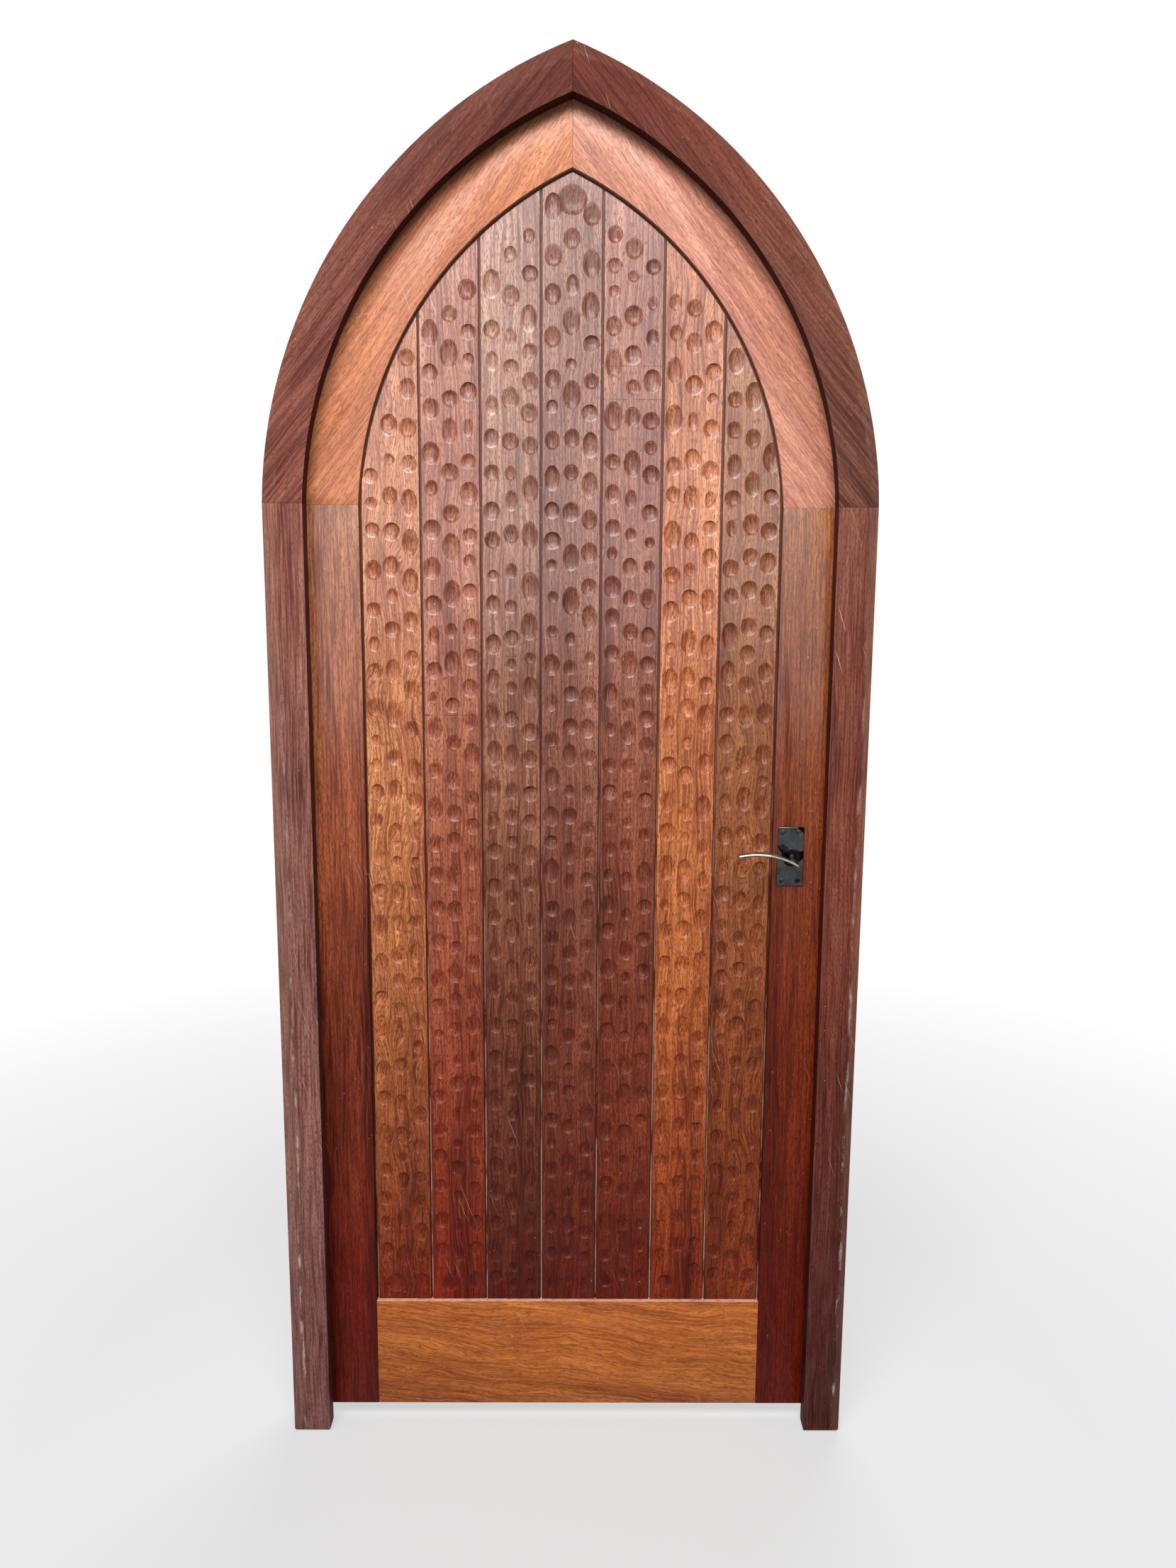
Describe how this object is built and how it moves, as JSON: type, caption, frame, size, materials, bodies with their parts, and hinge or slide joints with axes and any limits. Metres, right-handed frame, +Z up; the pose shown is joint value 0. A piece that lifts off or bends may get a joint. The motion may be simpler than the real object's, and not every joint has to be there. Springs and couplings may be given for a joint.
{
  "type": "hardwood door",
  "caption": "Hardwood door leaf with a pointed-arch head of vertical boards with gouged scoops, hung in its own rebated timber frame, with a lever latch.",
  "frame": {"origin": "on the floor under the middle of the doorway, at the middle of the leaf's thickness", "axes": "+X towards the lock side seen from the front, +Y towards the back, into which the leaf opens, +Z up"},
  "size_m": [0.92, 0.147, 2.171],
  "materials": {
    "frame_wood": "satin varnish",
    "stile_wood": "satin varnish",
    "head_wood": "satin varnish",
    "rail_wood": "satin varnish",
    "board_wood": "satin varnish",
    "tenon_wood": "unfinished",
    "hinge_metal": "satin",
    "pin_steel": "satin",
    "screw_steel": "bright",
    "plate_nickel": "polished black nickel",
    "lever_nickel": "polished pewter",
    "latch_steel": "zinc plated"
  },
  "bodies": {
    "frame": {"jamb_left": "frame_wood", "jamb_right": "frame_wood", "frame_head_left": "frame_wood", "frame_head_right": "frame_wood", "frame_tenon_left": "tenon_wood", "frame_tenon_right": "tenon_wood", "frame_tenon_apex": "tenon_wood", "hinge_screws_frame": "screw_steel", "strike_plate": "latch_steel", "strike_screws": "screw_steel", "hinge_frame_flap_top": "hinge_metal", "hinge_pin_top": "pin_steel", "hinge_frame_flap_middle": "hinge_metal", "hinge_pin_middle": "pin_steel", "hinge_frame_flap_bottom": "hinge_metal", "hinge_pin_bottom": "pin_steel"},
    "leaf": {"stile_left": "stile_wood", "stile_right": "stile_wood", "leaf_head_left": "head_wood", "leaf_head_right": "head_wood", "leaf_tenon_left": "tenon_wood", "leaf_tenon_right": "tenon_wood", "leaf_tenon_apex": "tenon_wood", "bottom_rail": "rail_wood", "hinge_screws_leaf": "screw_steel", "plate_outside": "plate_nickel", "plate_inside": "plate_nickel", "plate_screws_outside": "screw_steel", "plate_screws_inside": "screw_steel", "latch_case": "latch_steel", "latch_spring": "latch_steel", "latch_faceplate": "latch_steel", "faceplate_screws": "screw_steel", "board_1": "board_wood", "board_2": "board_wood", "board_3": "board_wood", "board_4": "board_wood", "board_5": "board_wood", "board_6": "board_wood", "board_7": "board_wood", "hinge_leaf_flap_top": "hinge_metal", "hinge_leaf_flap_middle": "hinge_metal", "hinge_leaf_flap_bottom": "hinge_metal"},
    "lever": {"lever_outside": "lever_nickel", "lever_inside": "lever_nickel", "spindle": "latch_steel", "follower": "latch_steel"},
    "latch": {"latch_bolt": "latch_steel"}
  },
  "joints": [
    {"name": "leaf_swing", "type": "hinge", "parent": "frame", "child": "leaf", "pos_m": [-0.4105, 0.0285, 0.8175], "axis": [0, 0, 1], "range_deg": [0, 105]},
    {"name": "lever_turn", "type": "hinge", "parent": "leaf", "child": "lever", "pos_m": [0.35, 0, 0.9925], "axis": [0, -1, 0], "range_deg": [0, 30], "stiffness_Nm_per_rad": 0.8, "springref_deg": -28.65},
    {"name": "latch_slide", "type": "slide", "parent": "leaf", "child": "latch", "axis": [-1, 0, 0], "range_m": [0, 0.0106], "deforming": ["latch_spring"]}
  ],
  "couplings": [
    {"joint": "latch_slide", "follows": "lever_turn", "m_per_rad": 0.020053}
  ]
}
